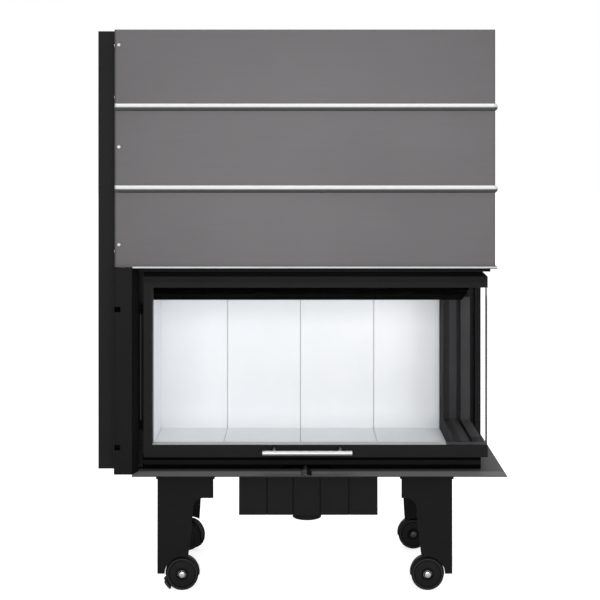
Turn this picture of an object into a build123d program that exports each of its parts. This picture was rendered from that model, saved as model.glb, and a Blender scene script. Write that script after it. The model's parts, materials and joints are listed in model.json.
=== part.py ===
from build123d import *
import os

os.makedirs("parts", exist_ok=True)

# Overall envelope. The floor is Z = 0 and the middle of the plan is X = 0, Y = 0.
overall_width = 1062
overall_depth = 582
overall_height = 1500
left = -overall_width / 2
right = overall_width / 2
back = overall_depth / 2

# Sheet metal
sheet = 2
plate = 3
wall = 4
seam = 1
clear = 0.3
running_fit = 0.05
bend = 4

# Handle
handle_reach = 51
handle_radius = 6
handle_width = 231
handle_offset = 22
handle_post_radius = 5
handle_post_spacing = 171
handle_z = 411

# The front face of the closed door: every depth is counted from it.
front = -overall_depth / 2 + handle_reach

# Door
door_left_inset = 123
door_right_inset = 44
door_left = left + door_left_inset
door_right = right - door_right_inset
handle_middle = (door_left + door_right) / 2 - handle_offset
door_bottom = 389
door_face_height = 469
door_cap = 12
door_cap_slope = 11
door_depth = 34
door_side = 320
door_travel = 430
bottom_rail = 32
top_rail = 28
stile = 22
lip = 3
rebate = 10
glass = 4
side_rebate = glass + 2 * clear + 0.4
retainer_start = 91
seal_width = 12
seal_height = 3.7
door_gap = 4
door_face_top = door_bottom + door_face_height
door_top = door_face_top + door_cap
window_bottom = door_bottom + bottom_rail
window_top = door_face_top - top_rail
pane_bottom = window_bottom - rebate
pane_top = window_top + rebate
window_left = door_left + stile
window_back = front + door_side - stile

# Base plate
base_top = 351
base_bottom = base_top - plate
base_reach = 38
base_left_inset = 97
base_left = left + base_left_inset
tongue_setback = 60

# Plinth under the door
plinth_left_reach = 7
plinth_right_inset = 13
plinth_left = door_left - plinth_left_reach
plinth_right = door_right - plinth_right_inset
plinth_setback = 30
plinth_height = 37
lever_slot_left = -45
lever_slot_right = 77
lever_slot_height = 10

# Firebox
fire_left_reach = 33
fire_left = door_left - fire_left_reach
fire_front = front + door_depth + door_gap
fire_right = door_right - door_depth - door_gap
fire_setback = 429
fire_back = front + fire_setback
fire_top = 960
fire_opening_inset = 16
fire_opening_left = door_left + fire_opening_inset
fire_opening_bottom = 405
fire_opening_top = 842
side_sill_top = window_bottom
jamb_setback = 305
jamb = front + jamb_setback
front_sill_top = 392
front_sill_setback = 150
front_sill_back = front + front_sill_setback
smoke_width = 420
smoke_depth = 240
smoke_setback = 220
smoke_middle = front + smoke_setback

# Lining
slab = 30
floor_slab = 20
lining_top = 850
jamb_width = 38
inner_left = fire_left + wall + slab
inner_right = fire_right - wall - jamb_width
slab_seam = 214
slab_edge = 2
baffle = 25
baffle_setback = 150
header_drop = 59
header_lean = 17
header_flat = 24

# Smoke dome and flue collar
flue_radius = 100
dome_height = 160
collar_height = 60

# Left column, right column, their pulleys and cables
column_left_width = 51
column_left_setback = 32
column_left_front = front + column_left_setback
column_left_depth = 200
column_left_back = column_left_front + column_left_depth
column_right_width = 45
column_right_inset = 76
column_right_left = right - column_right_inset
column_right_setback = 346
column_right_front = front + column_right_setback
column_right_depth = 154
column_right_back = column_right_front + column_right_depth
pulley_drop = 60
pulley_z = overall_height - pulley_drop
cable_circle = 35
cable = 1.5
pulley_rim = 38
pulley_width = 12
groove_half = 3.5
shaft = 5
arm_z = 775
lower_arm_z = 470
arm_half = 10
arm_right_inset = 26.5
cable_end = arm_z + 15
weight_height = 452
weight_depth = 120
weight_side_gap = 3.5
weight_drop = 60
weight_top = pulley_z - weight_drop
column_left_x = left + column_left_width / 2
column_right_x = column_right_left + column_right_width / 2
pulley_left_y = column_left_front + 18 + cable_circle
pulley_right_y = column_right_front + 19 + cable_circle
left_fall = pulley_left_y - cable_circle
right_fall = pulley_right_y - cable_circle
slot_bottom = arm_z - 20
slot_top = arm_z + door_travel + 30

# Guide rails and shoes
rail_width = 21
rail_depth = 20
rail_drop = 200
rail_top = overall_height - rail_drop
rail_left_setback = 17
rail_left_front = front + rail_left_setback
shoe = rail_width / 2 - sheet - clear
rod_gap = 8.5
rod_x_place = door_left - rod_gap
rod_radius = 2.5

# Hood and apron
hood_bottom = 884
hood_left = left + column_left_width - sheet
hood_right_inset = 26
hood_right = right - hood_right_inset
hood_setback = 13
hood_front = front - hood_setback
bead_height = 20
bead_reach = 6.5
bead_drop = 201
bead_rise = 203
bead_upper = overall_height - bead_drop
bead_lower = hood_bottom + bead_rise
top_flange = 18
apron_reach = 22
apron_front = front - apron_reach
apron_right_inset = 22
apron_right = right - apron_right_inset
apron_lip = 3
apron_thickness = 3
lintel_drop = 9
lintel_setback = 4
lintel_sheet = 2.5
screw = 2
screw_head = 4
screw_head_height = 2.5
screw_top_drop = 40
screw_low_rise = 59
screw_mid_rise = 109
return_low_rise = 40
return_mid_rise = 26

# Fascias
fascia_reach = 28
fascia_front = front - fascia_reach
fascia_right_inset = 11
fascia_right = right - fascia_right_inset
reveal_depth = 36
reveal_lean = 12
reveal_right_depth = 12
reveal_right_lean = 19
fascia_slot_width = 18
fascia_slot_height = 14
fascia_slot_upper = 770
fascia_slot_lower = 414

# Rear jacket
jacket_left = left + column_left_width
jacket_back = column_right_back
jacket_top = 1000
louvre_width = 90
louvre_height = 8
louvre_pitch = 24
louvre_drop = 90

# Air box and spigot
box_left = -165
box_right = 207
box_front_setback = 100
box_front = front + box_front_setback
box_back_setback = 380
box_back = front + box_back_setback
box_bottom = 209
box_groove = 4
box_groove_depth = 1.5
box_groove_places = (75, 145, 216, 297)
spigot_radius = 40
spigot_x = 18
spigot_setback = 240
spigot_y = front + spigot_setback
spigot_bottom = 164
spigot_stop = 6

# Air lever and its shutter
lever_x = 16
lever_setback = 75
lever_y = front + lever_setback
lever_reach = 36
lever_tip = front - lever_reach
lever_pin = 4
shutter_radius = 68
port_radius = 14
port_circle = 46
port_angle = 30

# Legs
leg_setback = 118
leg_front = front + leg_setback
leg_spacing = 340
leg_depth = 60
leg_bottom = 45
leg_step = 249
leg_rear_shift = -7
leg_left_inset = 145
leg_left_outer = left + leg_left_inset
leg_left_width = 151
leg_right_inset = 121.5
leg_right_outer = right - leg_right_inset
leg_right_width = 137
leg_neck = 97
leg_round = 30
leg_corner = 3
leg_waist_z = 150
leg_front_waist = 90
leg_front_ankle = 76
leg_rear_waist = 96
leg_rear_ankle = 88
socket_bottom = 301
socket_clear = 0.5
shelf_z = 100
arch_radius = 47
rear_left_arch = 52
bolt = 4
bolt_head = 7
bolt_head_height = 4
bolt_end = 6
bolt_z = 325

# Castors
wheel_radius = 44
wheel_width = 12
castor_web = 13
castor_gap = 0.5
castor_inset = 66.5
castor_trail = 27
castor_hood = 46
castor_skirt = 6
axle = 4
axle_cap = 10.5
axle_cap_height = 5
stem = 5.5
stem_head = 12
castor_half = castor_web / 2 + castor_gap + wheel_width
castor_setback = castor_half - 1
rear_left_turn = -30
pedal_inner = 47.5
pedal_outer = 53.5
pedal_round = 2.5
pedal_width = 30
pedal_start = 203
pedal_end = 232
pedal_pin = 3
pedal_pin_circle = 35
pedal_drop = 14


def block(x0, y0, z0, x1, y1, z1, mode=Mode.ADD):
    """Rectangular block between two corners."""
    with BuildSketch(Plane.XY.offset(z0)) as outline:
        with Locations(((x0 + x1) / 2, (y0 + y1) / 2)):
            Rectangle(x1 - x0, y1 - y0)
    extrude(outline.sketch, amount=z1 - z0, mode=mode)


def post(x, y, z0, z1, radius, mode=Mode.ADD):
    """Upright round bar."""
    with BuildSketch(Plane.XY.offset(z0)) as outline:
        with Locations((x, y)):
            Circle(radius)
    extrude(outline.sketch, amount=z1 - z0, mode=mode)


def bar_x(y, z, x0, x1, radius, mode=Mode.ADD):
    """Round bar along X."""
    with BuildSketch(Plane.YZ.offset(x0)) as outline:
        with Locations((y, z)):
            Circle(radius)
    extrude(outline.sketch, amount=x1 - x0, mode=mode)


def bar_y(x, z, y0, y1, radius, mode=Mode.ADD):
    """Round bar along Y."""
    with BuildSketch(Plane.XZ.offset(-y0)) as outline:
        with Locations((x, z)):
            Circle(radius)
    extrude(outline.sketch, amount=y0 - y1, mode=mode)


def folded(points, z0, z1, radius=bend, thickness=sheet):
    """Upright folded sheet whose middle line follows the points."""
    with BuildSketch(Plane.XY.offset(z0)) as outline:
        with BuildLine():
            FilletPolyline(*points, radius=radius)
        trace(line_width=thickness)
    extrude(outline.sketch, amount=z1 - z0)


def bent(points, z0, z1, thickness=sheet):
    """Upright sheet with sharp folds whose middle line follows the points."""
    with BuildSketch(Plane.XY.offset(z0)) as outline:
        with BuildLine():
            Polyline(*points)
        trace(line_width=thickness)
    extrude(outline.sketch, amount=z1 - z0)


# Base plate with four leg sockets, the two air ports and the lever's pin
leg_left_inner = leg_left_outer + leg_left_width
leg_right_inner = leg_right_outer - leg_right_width
with BuildPart() as base_frame:
    block(base_left, front - base_reach, base_bottom, right, back, base_top)
    block(left, front + tongue_setback, base_bottom, base_left, back, base_top)
    for y, shift in ((leg_front, 0), (leg_front + leg_spacing, leg_rear_shift)):
        for x0, x1 in ((leg_left_outer, leg_left_inner), (leg_right_inner, leg_right_outer)):
            inner0 = x0 + shift - socket_clear
            inner1 = x1 + shift + socket_clear
            block(inner0 - plate, y - plate, socket_bottom, inner1 + plate, y, base_bottom)
            block(inner0 - plate, y, socket_bottom, inner0, y + leg_depth, base_bottom)
            block(inner1, y, socket_bottom, inner1 + plate, y + leg_depth, base_bottom)
        for y_bolt in (y + leg_depth / 3, y + leg_depth * 2 / 3):
            socket_left = leg_left_outer + shift - socket_clear
            socket_right = leg_right_outer + shift + socket_clear
            bar_x(y_bolt, bolt_z, socket_left - plate, socket_left, bolt + clear, Mode.SUBTRACT)
            bar_x(y_bolt, bolt_z, socket_right, socket_right + plate, bolt + clear, Mode.SUBTRACT)
    with BuildSketch(Plane.XY.offset(base_bottom)) as ports:
        with Locations((lever_x, lever_y)):
            with PolarLocations(port_circle, 2, 90 - port_angle, 2 * port_angle, endpoint=True):
                Circle(port_radius)
    extrude(ports.sketch, amount=plate, mode=Mode.SUBTRACT)
    post(lever_x, lever_y, base_bottom, base_top + plate + 2 * clear, lever_pin)
    lever_head = base_top + plate + 2 * clear
    post(lever_x, lever_y, lever_head, lever_head + plate, 2 * lever_pin)
base_frame.part.label = "base_frame"
export_step(base_frame.part, "parts/base_frame.step")

# Plinth: a folded band under the door on two foot strips that leave the lever's slot
plinth_front = front + plinth_setback
with BuildPart() as plinth:
    half = plate / 2
    course = [
        (plinth_left + half, fire_front),
        (plinth_left + half, plinth_front + half),
        (plinth_right - half, plinth_front + half),
        (plinth_right - half, front + door_side - half),
        (fire_right, front + door_side - half),
    ]
    slot_top_z = base_top + lever_slot_height
    folded(course, slot_top_z, base_top + plinth_height, bend, plate)
    left_foot = course[:2] + [(lever_slot_left, plinth_front + half)]
    folded(left_foot, base_top, slot_top_z - clear, bend, plate)
    right_foot = [(lever_slot_right, plinth_front + half)] + course[2:]
    folded(right_foot, base_top, slot_top_z - clear, bend, plate)
plinth.part.label = "plinth"
export_step(plinth.part, "parts/plinth.step")

# Firebox: a welded box, open at the front and at the right
floor_z = base_top + wall
with BuildPart() as firebox_body:
    block(fire_left, fire_front, base_top, fire_right, fire_back, fire_top)
    block(
        fire_left + wall, fire_front + wall, floor_z,
        fire_right - wall, fire_back - wall, fire_top - wall, Mode.SUBTRACT,
    )
    block(
        fire_opening_left, fire_front, fire_opening_bottom,
        fire_right - wall, fire_front + wall, fire_opening_top, Mode.SUBTRACT,
    )
    block(
        fire_right - wall, fire_front, side_sill_top,
        fire_right, jamb, fire_opening_top, Mode.SUBTRACT,
    )
    block(
        inner_left, fire_front + wall, base_top,
        inner_right, front_sill_back - plate, floor_z, Mode.SUBTRACT,
    )
    block(
        fire_left + wall, fire_front, base_top,
        fire_right - wall, fire_front + wall, fire_opening_bottom, Mode.SUBTRACT,
    )
    block(
        fire_left + wall + clear, fire_front, slot_top_z,
        fire_right - wall - clear, fire_front + wall, fire_opening_bottom - clear,
    )
    block(
        -smoke_width / 2 + plate, smoke_middle - smoke_depth / 2 + plate, fire_top - wall,
        smoke_width / 2 - plate, smoke_middle + smoke_depth / 2 - plate, fire_top, Mode.SUBTRACT,
    )
firebox_body.part.label = "firebox_body"
export_step(firebox_body.part, "parts/firebox_body.step")

# Front sill with air slots, right sill and rear right jamb, one welded frame
inside_right = fire_right - wall
inside_front = fire_front + wall
inside_back = fire_back - wall
with BuildPart() as side_frame:
    block(inner_left, inside_front, front_sill_top - plate, inner_right, front_sill_back, front_sill_top)
    block(inner_left, front_sill_back - plate, floor_z, inner_right, front_sill_back, front_sill_top)
    block(inner_right, inside_front, side_sill_top - plate, inside_right, jamb, side_sill_top)
    block(inner_right, inside_front, floor_z, inner_right + plate, jamb, side_sill_top)
    block(inner_right, jamb, floor_z, inside_right, jamb + plate, lining_top)
    block(inner_right, jamb, floor_z, inner_right + plate, inside_back, lining_top)
    with BuildSketch(Plane.XY.offset(front_sill_top - plate)) as air_slots:
        with Locations(((inner_left + inner_right) / 2, inside_front + 12)):
            with GridLocations((inner_right - inner_left) / 12, 1, 12, 1):
                SlotOverall(40, 6)
    extrude(air_slots.sketch, amount=plate, mode=Mode.SUBTRACT)
side_frame.part.label = "side_frame"
export_step(side_frame.part, "parts/side_frame.step")

# Air-wash deflector that hangs behind the door's top rail and wraps the corner
with BuildPart() as inner_header:
    with BuildLine(Plane.XY.offset(lining_top)) as header_path:
        Polyline(
            (fire_opening_left, inside_front),
            (inside_right, inside_front),
            (inside_right, jamb),
        )
    with BuildSketch(Plane.YZ.offset(fire_opening_left)) as header_profile:
        with BuildLine():
            Polyline(
                (inside_front, lining_top),
                (inside_front, lining_top - header_flat),
                (inside_front + header_lean, lining_top - header_drop),
                (inside_front + header_lean + plate, lining_top - header_drop),
                (inside_front + plate, lining_top - header_flat),
                (inside_front + plate, lining_top),
                close=True,
            )
        make_face()
    sweep(header_profile.sketch, path=header_path.line, transition=Transition.RIGHT)
inner_header.part.label = "inner_header"
export_step(inner_header.part, "parts/inner_header.step")

# Hearth lining: four back slabs, one left slab and four floor slabs
seams = [inner_left, -slab_seam, 0, slab_seam, inner_right]
slab_front = inside_back - slab
for number in range(4):
    gap_left = 0 if number == 0 else seam / 2
    gap_right = 0 if number == 3 else seam / 2
    back_left = fire_left + wall if number == 0 else seams[number] + gap_left
    with BuildPart() as lining_back:
        block(back_left, slab_front, floor_z, seams[number + 1] - gap_right, inside_back, lining_top)
        seam_edges = lining_back.edges().filter_by(Axis.Z).group_by(Axis.Y)[0]
        chamfer(seam_edges, slab_edge)
    lining_back.part.label = f"lining_back_{number + 1}"
    export_step(lining_back.part, f"parts/lining_back_{number + 1}.step")
    with BuildPart() as lining_floor:
        block(
            seams[number] + gap_left, front_sill_back, floor_z,
            seams[number + 1] - gap_right, slab_front, floor_z + floor_slab,
        )
        seam_edges = lining_floor.edges().filter_by(Axis.Y).group_by(Axis.Z)[-1]
        chamfer(seam_edges, slab_edge)
    lining_floor.part.label = f"lining_floor_{number + 1}"
    export_step(lining_floor.part, f"parts/lining_floor_{number + 1}.step")

with BuildPart() as lining_left:
    block(fire_left + wall, inside_front, floor_z, inner_left, slab_front, lining_top)
    chamfer(lining_left.edges().filter_by(Axis.Z).group_by(Axis.X)[-1], slab_edge)
lining_left.part.label = "lining_left"
export_step(lining_left.part, "parts/lining_left.step")

# Baffle slab lying on the lining, with a smoke gap left along the front
with BuildPart() as baffle_plate:
    block(
        fire_left + wall + seam, front + baffle_setback, lining_top,
        inside_right - seam, inside_back - seam, lining_top + baffle,
    )
    chamfer(baffle_plate.edges().filter_by(Axis.X).group_by(Axis.Y)[0], slab_edge)
baffle_plate.part.label = "baffle_plate"
export_step(baffle_plate.part, "parts/baffle_plate.step")

# Smoke dome: a hollow transition from a rectangle to the round flue
dome_top = fire_top + dome_height
with BuildPart() as smoke_dome:
    with BuildSketch(Plane.XY.offset(fire_top)) as dome_foot:
        with Locations((0, smoke_middle)):
            RectangleRounded(smoke_width, smoke_depth, 30)
    with BuildSketch(Plane.XY.offset(dome_top)) as dome_neck:
        with Locations((0, smoke_middle)):
            Circle(flue_radius + plate)
    loft([dome_foot.sketch, dome_neck.sketch])
    with BuildSketch(Plane.XY.offset(fire_top)) as dome_foot_inside:
        with Locations((0, smoke_middle)):
            RectangleRounded(smoke_width - 2 * plate, smoke_depth - 2 * plate, 27)
    with BuildSketch(Plane.XY.offset(dome_top)) as dome_neck_inside:
        with Locations((0, smoke_middle)):
            Circle(flue_radius)
    loft([dome_foot_inside.sketch, dome_neck_inside.sketch], mode=Mode.SUBTRACT)
smoke_dome.part.label = "smoke_dome"
export_step(smoke_dome.part, "parts/smoke_dome.step")

with BuildPart() as flue_collar:
    post(0, smoke_middle, dome_top, dome_top + collar_height, flue_radius + plate)
    post(0, smoke_middle, dome_top, dome_top + collar_height, flue_radius, Mode.SUBTRACT)
    top_rim = flue_collar.edges().filter_by(GeomType.CIRCLE).group_by(Axis.Z)[-1]
    chamfer(top_rim.sort_by(SortBy.RADIUS)[-1:], 1)
flue_collar.part.label = "flue_collar"
export_step(flue_collar.part, "parts/flue_collar.step")

# Columns: closed casings, open at the foot, with a cap and bores for the pulley shafts
column_left_right = left + column_left_width
with BuildPart() as column_left:
    block(left, column_left_front, base_top, column_left_right, column_left_back, overall_height)
    block(
        left + sheet, column_left_front + sheet, base_top,
        column_left_right - sheet, column_left_back - sheet, overall_height - sheet, Mode.SUBTRACT,
    )
    bar_x(pulley_left_y, pulley_z, left, column_left_right, shaft + running_fit, Mode.SUBTRACT)
    block(
        column_left_right - sheet, left_fall - 6, slot_bottom,
        column_left_right, left_fall + 6, slot_top, Mode.SUBTRACT,
    )
column_left.part.label = "column_left"
export_step(column_left.part, "parts/column_left.step")

column_right_right = column_right_left + column_right_width
arm_right_x = column_right_left + arm_right_inset
with BuildPart() as column_right:
    block(
        column_right_left, column_right_front, base_top,
        column_right_right, column_right_back, overall_height,
    )
    block(
        column_right_left + sheet, column_right_front + sheet, base_top,
        column_right_right - sheet, column_right_back - sheet, overall_height - sheet,
        Mode.SUBTRACT,
    )
    bar_x(
        pulley_right_y, pulley_z,
        column_right_left, column_right_right, shaft + running_fit, Mode.SUBTRACT,
    )
    block(
        arm_right_x - sheet, column_right_front, slot_bottom,
        arm_right_x + plate + sheet, column_right_front + sheet, slot_top, Mode.SUBTRACT,
    )
column_right.part.label = "column_right"
export_step(column_right.part, "parts/column_right.step")

# Pulleys: grooved discs turned in one piece with their shafts
for name, x, y, x0, x1 in (
    ("pulley_left", column_left_x, pulley_left_y, left, column_left_right),
    ("pulley_right", column_right_x, pulley_right_y, column_right_left, column_right_right),
):
    root = cable_circle - cable - clear
    with BuildPart() as pulley:
        with BuildSketch(Plane.XY.offset(pulley_z)) as half_section:
            with BuildLine():
                Polyline(
                    (x0, y),
                    (x0, y + shaft),
                    (x - pulley_width / 2, y + shaft),
                    (x - pulley_width / 2, y + pulley_rim),
                    (x - groove_half, y + pulley_rim),
                    (x - cable - clear, y + root),
                    (x + cable + clear, y + root),
                    (x + groove_half, y + pulley_rim),
                    (x + pulley_width / 2, y + pulley_rim),
                    (x + pulley_width / 2, y + shaft),
                    (x1, y + shaft),
                    (x1, y),
                    close=True,
                )
            make_face()
        revolve(half_section.sketch, Axis((0, y, pulley_z), (1, 0, 0)))
    pulley.part.label = name
    export_step(pulley.part, f"parts/{name}.step")

# The stretches of cable that lie over the pulleys
with BuildPart() as cable_wraps:
    for x, y in ((column_left_x, pulley_left_y), (column_right_x, pulley_right_y)):
        with BuildSketch(Plane.XY.offset(pulley_z)) as strand:
            with Locations((x, y - cable_circle)):
                Circle(cable)
        revolve(strand.sketch, Axis((0, y, pulley_z), (-1, 0, 0)), revolution_arc=180)
cable_wraps.part.label = "cable_wraps"
export_step(cable_wraps.part, "parts/cable_wraps.step")

# Counterweights, each hung at its middle
for name, x, y, width in (
    ("left", column_left_x, pulley_left_y, column_left_width),
    ("right", column_right_x, pulley_right_y, column_right_width),
):
    hang = y + cable_circle
    half_width = width / 2 - sheet - weight_side_gap
    with BuildPart() as counterweight:
        block(
            x - half_width, hang - weight_depth / 2, weight_top - weight_height,
            x + half_width, hang + weight_depth / 2, weight_top,
        )
        chamfer(counterweight.edges().filter_by(Axis.Z), slab_edge)
    counterweight.part.label = f"counterweight_{name}"
    export_step(counterweight.part, f"parts/counterweight_{name}.step")
    with BuildPart() as weight_cable:
        post(x, hang, weight_top, pulley_z, cable)
    weight_cable.part.label = f"weight_cable_{name}"
    export_step(weight_cable.part, f"parts/weight_cable_{name}.step")

# The two falls of cable that carry the door
with BuildPart() as door_cables:
    post(column_left_x, left_fall, cable_end, pulley_z, cable)
    post(column_right_x, right_fall, cable_end, pulley_z, cable)
door_cables.part.label = "door_cables"
export_step(door_cables.part, "parts/door_cables.step")

# Guide rails: channels that open towards the front
rail_left_x = column_left_right + rail_width / 2
rail_right_x = column_right_left + sheet + rail_width / 2
for name, x, y in (
    ("guide_rail_left", rail_left_x, rail_left_front),
    ("guide_rail_right", rail_right_x, column_right_front - rail_depth),
):
    with BuildPart() as guide_rail:
        half = sheet / 2
        channel = [
            (x - rail_width / 2 + half, y),
            (x - rail_width / 2 + half, y + rail_depth - half),
            (x + rail_width / 2 - half, y + rail_depth - half),
            (x + rail_width / 2 - half, y),
        ]
        bent(channel, base_top, rail_top)
    guide_rail.part.label = name
    export_step(guide_rail.part, f"parts/{name}.step")

# Left carriage: shoes in the rail, a polished rod and the arm to the cable
flange_x = door_left - plate
with BuildPart() as carriage_left:
    for z in (lower_arm_z, arm_z):
        block(flange_x, front + 6, z - 14, door_left, front + 30, z + 14)
        block(rail_left_x - 9, front + 11, z - arm_half, door_left, front + 14, z + arm_half)
        bar_y(rail_left_x, z, front + 11, rail_left_front + rail_depth - 2 * sheet, shoe)
    post(rod_x_place, front + 9.5, lower_arm_z, arm_z, rod_radius)
    arm_x = fire_left - wall - plate
    block(arm_x, front + 11, arm_z - arm_half, arm_x + plate, left_fall + plate, arm_z + arm_half)
    block(
        column_left_x, left_fall - plate, arm_z - arm_half,
        arm_x + plate, left_fall + plate, arm_z + arm_half,
    )
    post(column_left_x, left_fall, arm_z - arm_half, cable_end, 5)
carriage_left.part.label = "carriage_left"
export_step(carriage_left.part, "parts/carriage_left.step")

# Right carriage on the back of the rear stile
door_back = front + door_side
with BuildPart() as carriage_right:
    for z in (lower_arm_z, arm_z):
        block(
            rail_right_x - 9, door_back, z - arm_half,
            arm_right_x + plate, door_back + plate, z + arm_half,
        )
        bar_y(rail_right_x, z, door_back, column_right_front - 2 * sheet + 1, shoe)
    block(
        arm_right_x, door_back, arm_z - arm_half,
        arm_right_x + plate, right_fall + plate, arm_z + arm_half,
    )
    post(column_right_x, right_fall, arm_z - arm_half, cable_end, 5)
carriage_right.part.label = "carriage_right"
export_step(carriage_right.part, "parts/carriage_right.step")

# Fascias: trims beside the door, each with a slanted reveal
with BuildPart() as fascia_left:
    half = sheet / 2
    trim = [
        (hood_left + half, column_left_front),
        (hood_left + half, fascia_front + half),
        (base_left - half, fascia_front + half),
    ]
    folded(trim, base_top, hood_bottom)
    reveal = [
        (base_left - half, fascia_front + half),
        (base_left + reveal_lean - half, fascia_front + reveal_depth),
    ]
    bent(reveal, base_top, hood_bottom - apron_thickness)
    for z in (fascia_slot_upper, fascia_slot_lower):
        block(
            hood_left, fascia_front, z,
            hood_left + fascia_slot_width, fascia_front + bend + half, z + fascia_slot_height,
            Mode.SUBTRACT,
        )
fascia_left.part.label = "fascia_left"
export_step(fascia_left.part, "parts/fascia_left.step")

with BuildPart() as fascia_right_trim:
    half = sheet / 2
    trim = [
        (column_right_right, column_right_front + 48 - half),
        (fascia_right - half, column_right_front + 48 - half),
        (fascia_right - half, column_right_front),
    ]
    folded(trim, base_top, hood_bottom - apron_thickness)
    reveal = [
        (fascia_right - half, column_right_front + half),
        (fascia_right - reveal_right_lean, column_right_front - reveal_right_depth),
    ]
    bent(reveal, base_top, hood_bottom - apron_thickness)
fascia_right_trim.part.label = "fascia_right"
export_step(fascia_right_trim.part, "parts/fascia_right.step")

# Hood: one folded sheet with two pressed beads that wrap the right corner
half = sheet / 2
hood_course = [
    (hood_left + half, column_left_front),
    (hood_left + half, hood_front + half),
    (hood_right - half, hood_front + half),
    (hood_right - half, column_right_front),
]
screw_top = overall_height - screw_top_drop
screw_levels = (hood_bottom + screw_low_rise, bead_lower + screw_mid_rise, screw_top)
return_screw_levels = (hood_bottom + return_low_rise, bead_upper + return_mid_rise, screw_top)
screw_x = hood_left + 12
screw_y = column_left_front - 28
with BuildPart() as hood:
    folded(hood_course, hood_bottom, overall_height)
    with BuildSketch(Plane.XY.offset(overall_height - sheet)) as flange:
        with BuildLine():
            Polyline(
                (hood_left + sheet, hood_front + sheet),
                (hood_right - sheet, hood_front + sheet),
                (hood_right - sheet, column_right_front),
                (hood_right - sheet - top_flange, column_right_front),
                (hood_right - sheet - top_flange, hood_front + sheet + top_flange),
                (hood_left + sheet, hood_front + sheet + top_flange),
                close=True,
            )
        make_face()
    extrude(flange.sketch, amount=sheet)
    for z in (bead_lower, bead_upper):
        with BuildLine(Plane.XY.offset(z)) as bead_path:
            FilletPolyline(
                (hood_left + bend + sheet, hood_front + half),
                (hood_right - half, hood_front + half),
                (hood_right - half, column_right_front),
                radius=bend,
            )
        for reach, opening, mode in (
            (bead_reach + half, bead_height, Mode.ADD),
            (bead_reach - half, bead_height - 2 * sheet, Mode.SUBTRACT),
        ):
            with BuildSketch(Plane.YZ.offset(hood_left + bend + sheet)) as bead:
                with BuildLine():
                    Line((hood_front + half, z + opening / 2), (hood_front + half, z - opening / 2))
                    ThreePointArc(
                        (hood_front + half, z - opening / 2),
                        (hood_front + half - reach, z),
                        (hood_front + half, z + opening / 2),
                    )
                make_face()
            sweep(bead.sketch, path=bead_path.line, mode=mode)
        inside = bead_height / 2 - sheet
        block(
            hood_left + bend + sheet, hood_front + half, z - inside,
            hood_right - bend - sheet, hood_front + sheet, z + inside, Mode.SUBTRACT,
        )
        block(
            hood_right - sheet, hood_front + bend + sheet, z - inside,
            hood_right - half, column_right_front, z + inside, Mode.SUBTRACT,
        )
    for z in screw_levels:
        bar_y(screw_x, z, hood_front, hood_front + sheet, screw + clear, Mode.SUBTRACT)
    for z in return_screw_levels:
        bar_x(screw_y, z, hood_left, hood_left + sheet, screw + clear, Mode.SUBTRACT)
hood.part.label = "hood"
export_step(hood.part, "parts/hood.step")

with BuildPart() as hood_screws:
    for z in screw_levels:
        bar_y(screw_x, z, hood_front - screw_head_height, hood_front, screw_head)
        bar_y(screw_x, z, hood_front, hood_front + 8, screw)
    for z in return_screw_levels:
        bar_x(screw_y, z, hood_left - screw_head_height, hood_left, screw_head)
        bar_x(screw_y, z, hood_left, hood_left + 8, screw)
hood_screws.part.label = "hood_screws"
export_step(hood_screws.part, "parts/hood_screws.step")

# Apron under the hood: a bright edge strip and the lintel angle below it
strip_bottom = hood_bottom - apron_thickness
with BuildPart() as upper_apron:
    apron_depth = front - 2 - apron_front
    with BuildSketch(Plane.XY.offset(strip_bottom)) as strip:
        with BuildLine():
            Polyline(
                (base_left, apron_front),
                (apron_right, apron_front),
                (apron_right, column_right_front),
                (apron_right - apron_depth, column_right_front),
                (apron_right - apron_depth, apron_front + apron_depth),
                (base_left, apron_front + apron_depth),
                close=True,
            )
        make_face()
    extrude(strip.sketch, amount=apron_thickness)
    block(base_left, apron_front, hood_bottom, apron_right, apron_front + sheet, hood_bottom + apron_lip)
    block(
        apron_right - sheet, apron_front, hood_bottom,
        apron_right, column_right_front, hood_bottom + apron_lip,
    )
    lintel_left = base_left + reveal_lean + sheet
    lintel_right = apron_right - apron_depth + sheet + lintel_sheet
    block(
        lintel_left, front - lintel_setback, strip_bottom - lintel_drop,
        lintel_right, front - lintel_setback + lintel_sheet, strip_bottom,
    )
    block(
        lintel_right - lintel_sheet, front - lintel_setback, strip_bottom - lintel_drop,
        lintel_right, column_right_front - 2 * reveal_right_depth, strip_bottom,
    )
upper_apron.part.label = "upper_apron"
export_step(upper_apron.part, "parts/upper_apron.step")

# Convection jacket around the back of the firebox
with BuildPart() as rear_jacket:
    half = sheet / 2
    jacket = [
        (jacket_left + half, column_left_back),
        (jacket_left + half, jacket_back - half),
        (column_right_left, jacket_back - half),
    ]
    folded(jacket, base_top, jacket_top)
    with BuildSketch(Plane.XZ.offset(-jacket_back + sheet)) as louvres:
        with Locations((0, jacket_top - louvre_drop)):
            with GridLocations(louvre_width * 1.5, louvre_pitch, 5, 4):
                SlotOverall(louvre_width, louvre_height)
    extrude(louvres.sketch, amount=-sheet, mode=Mode.SUBTRACT)
rear_jacket.part.label = "rear_jacket"
export_step(rear_jacket.part, "parts/rear_jacket.step")

# Combustion air box: open at the top, where the base plate closes it
with BuildPart() as air_box:
    block(box_left, box_front, box_bottom, box_right, box_back, base_bottom)
    block(
        box_left + plate, box_front + plate, box_bottom + plate,
        box_right - plate, box_back - plate, base_bottom, Mode.SUBTRACT,
    )
    post(spigot_x, spigot_y, box_bottom, box_bottom + plate, spigot_radius, Mode.SUBTRACT)
    for place in box_groove_places:
        x = box_left + place
        block(
            x - box_groove / 2, box_front, box_bottom,
            x + box_groove / 2, box_front + box_groove_depth, base_bottom, Mode.SUBTRACT,
        )
air_box.part.label = "air_box"
export_step(air_box.part, "parts/air_box.step")

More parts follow.
